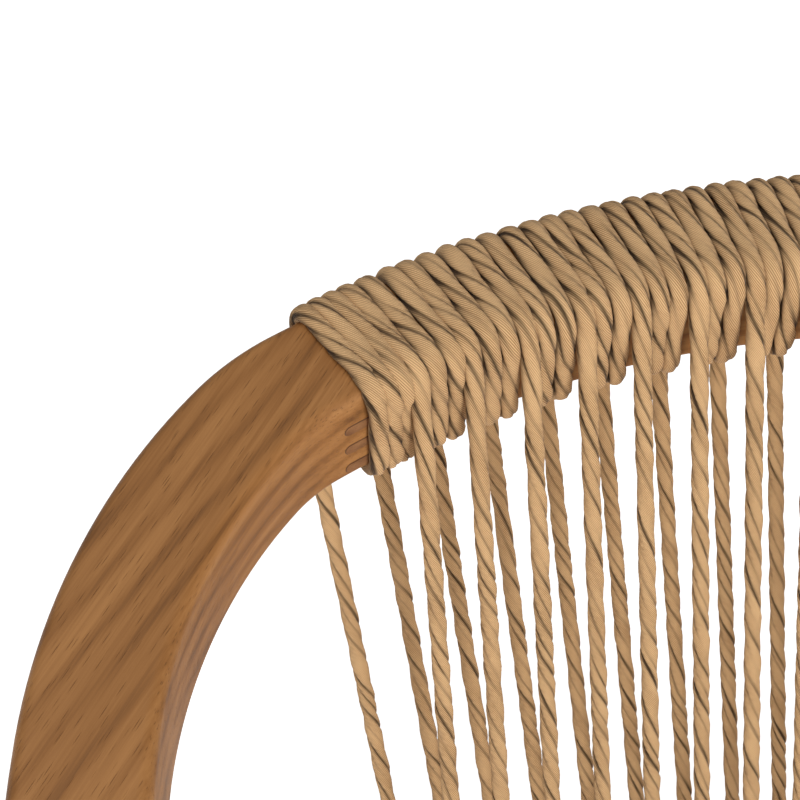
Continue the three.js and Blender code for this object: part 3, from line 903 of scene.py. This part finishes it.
@dataclass
class SeatLayout:
    """Where the rails and planes of the seat lie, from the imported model's boxes.

    Attributes:
        section, arris: the square stock and its edge radius.
        slope: how far both hoops tip, in radians.
        top_height, seat_height: height of the hoops' origins.
        seat_back: distance of the seat hoop's origin behind the arm hoop's.
        recline: lean of the back's front runs, in radians.
        cord_bulk: how far the tape stands off a rail.

    It works out origin and seat_origin, the two hoops' origins; seat_along and seat_down, the seat
    plane's directions; cross_rail and front_rail, where these lie along that plane; cross_reach,
    how far the cross rail's front edge lies in front of the seat's origin; and top_hoop.
    """

    section: float = 45 * MM
    arris: float = 5 * MM
    slope: float = math.radians(12)
    top_height: float = 700 * MM
    seat_height: float = 285 * MM
    seat_back: float = 8 * MM
    recline: float = math.radians(16.7)
    cord_bulk: float = 5.5 * MM

    def __post_init__(self) -> None:
        """Work out the two planes and the rails' places in them."""
        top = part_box("top_back_rail")[1]
        square = self.section - self.arris
        back = float(top[1]) - square * (math.cos(self.slope) + math.sin(self.slope)) - self.arris
        self.origin = np.array([0, back, self.top_height])
        self.seat_origin = np.array([0, back + self.seat_back, self.seat_height])
        self.seat_along = np.array([0, math.cos(self.slope), -math.sin(self.slope)])
        self.seat_down = np.array([0, -math.sin(self.slope), -math.cos(self.slope)])
        lean = math.tan(self.recline)
        run = self.seat_back + self.cord_bulk + lean * (self.top_height - self.seat_height)
        self.cross_reach = run / (math.cos(self.slope) + lean * math.sin(self.slope))
        self.cross_rail = self.cord_bulk - self.cross_reach
        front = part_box("front_rail")
        middle = (np.array(front[0]) + np.array(front[1])) / 2 - self.seat_origin
        self.front_rail = float(middle @ self.seat_along) - self.section / 2
        corner = math.radians(25.8)
        self.top_hoop = Hoop((Arc(390 * MM, corner), Arc(65 * MM, math.radians(45)),
                              Arc(205 * MM, math.radians(80)), Arc(900 * MM, math.radians(97.5))),
                             self.slope, self.origin, self.section)

    def seat_point(self, across: float, along: float, depth: float) -> np.ndarray:
        """Find a point by the seat's plane.

        Args:
            across: metres to the right of the middle.
            along: metres towards the back, along the slope.
            depth: metres down from the seat hoop's top face.

        Returns:
            The point in metres.
        """
        side = np.array([across, 0, 0])
        return self.seat_origin + side + self.seat_along * along + self.seat_down * depth


@dataclass
class BackStringing:
    """The back: one long tape, wound over the arm hoop's back rail and down to the cross rail.

    Attributes:
        layout: places of the rails.
        period: angle round the hoop from one strand to the next.
        pitch: the same distance at the cross rail.
        first, last: numbers of the outermost front strands, counted from the middle.
        shift: angle from the middle of the seat to strand zero.
        turns: turns round the rail between a front run and its rear run.
        front_shift, rear_shift: how far the feet of strand zero stand from the middle.
        advance: share of the period that one turn moves along.
        slack: girth of the tape between the rails, as a share of its girth on them.
        crowd: how much of its advance the first strand takes, which closes it up to the joint.
        sway: how unevenly a strand's turns lie, as a share of the period.
        run_points: points along a run between the rails.
    """

    layout: SeatLayout
    period: float = math.radians(3.4)
    pitch: float = 21.3 * MM
    first: int = -6
    last: int = 7
    shift: float = math.radians(-0.65)
    front_shift: float = -9 * MM
    rear_shift: float = 7 * MM
    turns: float = 2.47
    advance: float = -1 / 3
    slack: float = 0.84
    crowd: float = 0.76
    sway: float = 0.018
    run_points: int = 60

    def __post_init__(self) -> None:
        """Make the track round the rail."""
        self.track = WrapTrack(self.layout.section, self.layout.arris)
        self.hoop = self.layout.top_hoop

    def on_rail(self, angle: float, turns: float) -> tuple[np.ndarray, np.ndarray]:
        """Find a point of the tape's middle on the rail.

        Args:
            angle: radians round the hoop.
            turns: turns round the rail.

        Returns:
            The point, and the way that the tape faces there.
        """
        (out, depth), (face_out, face_down) = self.track.at(turns)
        here = self.hoop.point(angle, out, depth)
        beyond = self.hoop.point(angle, out + face_out * 0.01, depth + face_down * 0.01)
        face = beyond - here
        return here, face / np.linalg.norm(face)

    def front_foot(self, number: float) -> np.ndarray:
        """Where a front strand meets the cross rail."""
        edge = self.layout.seat_point(0, -self.layout.cross_reach, 0)
        across = number * self.pitch + self.front_shift
        return edge + np.array([across, -0.6 * MM, 4 * MM])

    def rear_foot(self, number: float) -> np.ndarray:
        """Where a rear strand meets the cross rail."""
        reach = self.layout.cross_rail + self.layout.section + self.layout.cord_bulk
        across = number * self.pitch + self.rear_shift
        return self.layout.seat_point(across, reach, 6 * MM)

    def strand(self, number: float, start: float, finish: float, front: bool, rear: bool,
               seed: int) -> Run:
        """Lay out one strand, from its front foot over the rail to its rear foot.

        Args:
            number: which strand, counted from the middle.
            start, finish: turns round the rail where it starts and leaves.
            front, rear: whether it has a front run and a rear run.
            seed: settles its small irregularities.

        Returns:
            The track, the way that the tape faces, and its girth, at each point.
        """
        chance = np.random.default_rng(900 + seed)
        base = number * self.period + self.shift
        places, faces = [], []
        crowd = self.crowd if number == self.first else 1.0
        sway = chance.normal(0, self.sway, 12)
        knots = np.linspace(0, 3.5, 12)
        for turn in np.arange(start, finish, 0.012):
            share = crowd * self.advance * turn + np.interp(turn, knots, sway)
            here, face = self.on_rail(base + share * self.period, turn)
            places.append(here)
            faces.append(face)
        girth = [1.0] * len(places)
        if front:
            foot, top = self.front_foot(number), places[0]
            forward = np.array([0.0, -1.0, 0.25])
            shares = np.linspace(0, 1, self.run_points, endpoint=False)
            places = [foot + (top - foot) * share for share in shares] + places
            girth = [self.slack + (1 - self.slack) * share ** 12 for share in shares] + girth
            faces = [forward * (1 - share ** 8) + faces[0] * share ** 8 for share in shares] + faces
        if rear:
            foot, top = self.rear_foot(number - 1), places[-1]
            shares = np.linspace(0, 1, self.run_points)[1:]
            behind = np.array([0.0, 1.0, 0.25])
            places += [top + (foot - top) * share for share in shares]
            faces += [behind for _ in shares]
            girth += [self.slack + (1 - self.slack) * (1 - share) ** 12 for share in shares]
        return np.array(places), np.array(faces), np.array(girth)

    def build(self, tape: Material) -> None:
        """Skin the strands and put them in place of the plain panel."""
        skin = TapeSkin()
        strands = []
        for number in range(self.first, self.last + 1):
            extra = 1 if number == self.first else 0
            strands.append(self.strand(number, -0.03, self.turns + extra, True, True, number + 20))
        strands.append(self.strand(self.last + 1, self.turns - 0.75, self.turns, False, True, 3))
        skins = [skin.skin(*strand, 40 + i) for i, strand in enumerate(strands)]
        piece = tape_piece("back_strands", skins, skin.around, tape)
        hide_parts("back_cords")
        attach(piece, "root")
        LOG.info("back_strands: %d strands", len(skins))


@dataclass
class RailWinding:
    """Tape wound close along a straight rail of the seat.

    Attributes:
        layout: places of the rails.
        rail: where the rail's edge lies along the seat plane.
        half: half the length that is wound.
        pitch: distance from one turn to the next.
    """

    layout: SeatLayout
    rail: float
    half: float
    pitch: float = 7.7 * MM

    def strand(self) -> Run:
        """Lay out the winding, turn by turn: its track, the way it faces, and its girth."""
        track = WrapTrack(self.layout.section, self.layout.arris)
        places, faces = [], []
        turns = 2 * self.half / self.pitch
        for turn in np.arange(0, turns, 0.02):
            (out, depth), (face_out, face_down) = track.at(turn)
            across = -self.half + turn * self.pitch
            places.append(self.layout.seat_point(across, self.rail + out, depth))
            faces.append(self.layout.seat_along * face_out + self.layout.seat_down * face_down)
        return np.array(places), np.array(faces), np.ones(len(places))


@dataclass
class SeatStringing:
    """The seat: two layers of tape between the cross rail and the front rail, and the windings on both.

    Attributes:
        layout: places of the rails.
        count: strands of the upper layer; the lower one has one fewer.
        back_pitch, front_pitch: distance between strands at either rail.
        back_strands: front strands of the back, which set how far the cross rail is wound.
        stand_off: how far the middle of a strand stands off a rail's face.
        tuck: how far a strand's end runs on under the windings.
        girth: a strand's girth, as a share of the full one.
    """

    layout: SeatLayout
    count: int = 13
    back_pitch: float = 23.1 * MM
    front_pitch: float = 30.8 * MM
    back_strands: int = 14
    stand_off: float = 8.2 * MM
    tuck: float = 9 * MM
    girth: float = 0.92

    def layer(self, count: int, depth: float, back: float, front: float) -> list[Run]:
        """Lay out one layer of straight strands.

        Args:
            count: how many strands it has.
            depth: their depth below the seat hoop's top face; negative for the upper layer.
            back, front: where they leave either rail, along the seat's plane.

        Returns:
            Each strand's track, the ways that it faces, and its girth.
        """
        above = depth < 0
        up = -self.layout.seat_down if above else self.layout.seat_down
        tucked = depth * 0.2 + (0 if above else 0.8 * self.layout.section)
        strands = []
        for number in range(count):
            place = number - (count - 1) / 2
            at_back, at_front = place * self.back_pitch, place * self.front_pitch
            rear = self.layout.seat_point(at_back, back, depth)
            fore = self.layout.seat_point(at_front, front, depth)
            first = self.layout.seat_point(at_back, back + self.tuck, tucked)
            last = self.layout.seat_point(at_front, front - self.tuck, tucked)
            track = [rear + (fore - rear) * share for share in np.linspace(0, 1, 60)]
            whole = np.array([first, *track, last])
            strands.append((whole, np.array([up] * len(whole)), np.full(len(whole), self.girth)))
        return strands

    def build(self, tape: Material) -> None:
        """Skin both layers and both windings, in place of the two plain panels."""
        lay = self.layout
        section = lay.section
        skin = TapeSkin(around=16, step=2.6 * MM)
        cross = RailWinding(lay, lay.cross_rail, self.back_pitch * (self.back_strands + 1) / 2)
        fore = RailWinding(lay, lay.front_rail, self.front_pitch * self.count / 2)
        upper = self.layer(self.count, -self.stand_off,
                           lay.cross_rail + section * 0.55, lay.front_rail + section * 0.4)
        lower = self.layer(self.count - 1, section + self.stand_off,
                           lay.cross_rail + section * 0.45, lay.front_rail + section * 0.6)
        plan = (("seat_top_strands", upper, "seat_top_cords"),
                ("seat_under_strands", lower, "seat_under_cords"),
                ("cross_rail_winding", [cross.strand()], "seat_under_cords"),
                ("front_rail_winding", [fore.strand()], "seat_top_cords"))
        for name, strands, node in plan:
            skins = [skin.skin(*strand, 200 + i) for i, strand in enumerate(strands)]
            piece = tape_piece(name, skins, skin.around, tape)
            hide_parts(node)
            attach(piece, "root")
            LOG.info("%s: %d strands", name, len(skins))


# ---------------------------------------------------------------- the stand and the lower frame


@dataclass
class Underframe:
    """The seat hoop, rails, legs, stretchers and fittings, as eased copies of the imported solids.

    Attributes:
        smooth_angle: edges under this many degrees are shaded round.
        ease_angle: edges over this many degrees are eased.
        timber_ease, bolt_ease, glide_ease: width of the eased edge on each kind of piece.
    """

    smooth_angle: float = 40.0
    ease_angle: float = 35.0
    timber_ease: float = 0.6 * MM
    bolt_ease: float = 0.7 * MM
    glide_ease: float = 1.2 * MM

    def timber(self) -> list[tuple[str, Point3, str]]:
        """List each timber piece with its grain direction and its slot."""
        plan = [("seat_back_rail", (1, 0, 0), "seat_frame_wood"),
                ("front_rail", (1, 0, 0), "seat_frame_wood"),
                ("cross_rail", (1, 0, 0), "seat_frame_wood"),
                ("rear_stretcher", (1, 0, 0), "stand_wood")]
        for side in Side:
            word = side.word
            plan += [(f"{word}_seat_corner", (0.6, -0.8 * side.value, 0.15), "seat_frame_wood"),
                     (f"{word}_seat_side", (0, 1, -0.2), "seat_frame_wood"),
                     (f"{word}_front_leg", (0, 0.08, 1), "stand_wood"),
                     (f"{word}_rear_leg", (0, -0.33, 1), "stand_wood"),
                     (f"{word}_stretcher", (0, 1, 0), "stand_wood")]
        return plan

    def copy(self, name: str, material: Material, slot: str, bevel: float = 0.0) -> None:
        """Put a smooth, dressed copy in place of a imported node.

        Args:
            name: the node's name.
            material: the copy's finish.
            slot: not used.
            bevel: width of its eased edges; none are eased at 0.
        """
        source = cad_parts[name]
        mesh = source.data.copy()
        mesh.name = f"{name}_finished"
        work = bmesh.new()
        work.from_mesh(mesh)
        bmesh.ops.remove_doubles(work, verts=work.verts, dist=1e-6)
        work.to_mesh(mesh)
        work.free()
        mesh.materials.clear()
        mesh.materials.append(material)
        mesh.shade_smooth()
        mesh.set_sharp_from_angle(angle=math.radians(self.smooth_angle))
        piece = linked(f"{name}_finished", mesh)
        if bevel:
            ease = piece.modifiers.new("ease", "BEVEL")
            ease.width = bevel
            ease.segments = 3
            ease.limit_method = "ANGLE"
            ease.angle_limit = math.radians(self.ease_angle)
        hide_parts(name)
        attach(piece, "root")
        LOG.info("%s dressed", name)

    def build(self) -> None:
        """Dress the timber, dowels, bolts and glides."""
        for number, (name, grain, slot) in enumerate(self.timber()):
            wood = OiledTimber(f"timber_{name}", grain, 0.6 * number + 0.3).build()
            self.copy(name, wood, slot, self.timber_ease)
        dowel = OiledTimber("timber_dowel", (0, 0, 1), 9.0, light=plain_colour(214, 184, 140),
                            middle=plain_colour(196, 162, 118), dark=plain_colour(168, 132, 92)).build()
        steel, nylon = BrushedBolt().build(), MouldedNylon().build()
        for name in sorted(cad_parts):
            if "dowel" in name:
                self.copy(name, dowel, "dowel_wood")
            elif "bolt" in name:
                self.copy(name, steel, "bolt_steel", self.bolt_ease)
            elif "glide" in name:
                self.copy(name, nylon, "glide_plastic", self.glide_ease)


# ---------------------------------------------------------------- studio


@dataclass(frozen=True)
class Lamp:
    """A soft square light.

    Attributes:
        name: the light's name.
        place: where it hangs, in metres.
        size: width of its face, in metres.
        power: its power in watts.
    """

    name: str
    place: Point3
    size: float
    power: float


@dataclass
class Studio:
    """A plain pale floor, soft light and the camera.

    Attributes:
        layout: places of the rails.
        stand: where the camera stands, from the middle of the arm hoop's inner edge.
        yaw, pitch, roll: the way the camera is turned, in radians.
        lens: focal length in millimetres.
        lamps: the lights.
        sky: brightness of the light from all round.
        floor_reach: half the floor's width, in metres.
        floor_glow: the floor's own light, which keeps it white.
    """

    layout: SeatLayout
    stand: Point3 = (-0.2182, -0.5157, 0.3851)
    yaw: float = math.radians(8.42)
    pitch: float = math.radians(-39.12)
    roll: float = math.radians(-2.09)
    lens: float = 78.75
    lamps: Sequence[Lamp] = (Lamp("key", (0.3, -2.4, 1.9), 0.8, 62.0),
                             Lamp("top", (-0.8, 0.2, 3.0), 1.2, 14.0))
    sky: float = 0.27
    floor_reach: float = 60.0
    floor_glow: float = 0.72

    def camera(self) -> None:
        """Set up the camera."""
        flat = math.cos(self.pitch)
        ahead = Vector((math.sin(self.yaw) * flat, math.cos(self.yaw) * flat, math.sin(self.pitch)))
        level = Vector((math.cos(self.yaw), -math.sin(self.yaw), 0))
        rise = level.cross(ahead)
        right = level * math.cos(self.roll) + rise * math.sin(self.roll)
        up = right.cross(ahead)
        data = bpy.data.cameras.new("camera")
        data.lens, data.sensor_width = self.lens, 36.0
        camera = linked("camera", data)
        place = Vector(self.layout.origin) + Vector(self.stand)
        turn = Matrix((right, up, -ahead)).transposed().to_4x4()
        camera.matrix_world = Matrix.Translation(place) @ turn
        data.clip_start = 0.01
        bpy.context.scene.camera = camera

    def light(self, lamp: Lamp) -> None:
        """Hang a lamp so that it faces the back of the seat."""
        data = bpy.data.lights.new(lamp.name, "AREA")
        data.size, data.energy = lamp.size, lamp.power
        hung = linked(lamp.name, data)
        hung.location = lamp.place
        aim = Vector((0, 0.1, 0.6)) - Vector(lamp.place)
        hung.rotation_euler = aim.to_track_quat("-Z", "Y").to_euler()

    def build(self) -> None:
        """Lay the floor, hang the lights and set up the camera."""
        world = bpy.data.worlds.new("studio")
        bpy.context.scene.world = world
        world.use_nodes = True
        background = world.node_tree.nodes["Background"]
        background.inputs["Color"].default_value = (1, 1, 1, 1)
        background.inputs["Strength"].default_value = self.sky
        bpy.context.scene.view_settings.view_transform = "Standard"
        graph = Graph("studio_floor")
        speck = graph.noise(graph.node("TexCoord").outputs["Object"], 40.0, 3)
        colour = graph.ramp(speck, [(0.3, plain_colour(250, 250, 250)), (0.7, plain_colour(254, 254, 254))])
        graph.shader.inputs["Emission Color"].default_value = (1, 1, 1, 1)
        signs = np.array([(-1, -1, 0), (1, -1, 0), (1, 1, 0), (-1, 1, 0)], float)
        finish = graph.finish(colour, 0.9, Emission_Strength=self.floor_glow)
        floor = new_piece("floor", signs * self.floor_reach, [(0, 1, 2, 3)], finish)
        for lamp in self.lamps:
            self.light(lamp)
        self.camera()


def main() -> None:
    """Build the seat piece by piece."""
    logging.basicConfig(level=logging.INFO, format="%(name)s: %(message)s")
    layout = SeatLayout()
    Studio(layout).build()
    ArmHoop(layout.top_hoop).build()
    tape = TwistedTape().build()
    BackStringing(layout).build(tape)
    SeatStringing(layout).build(tape)
    Underframe().build()


if __name__ == "__main__":
    main()
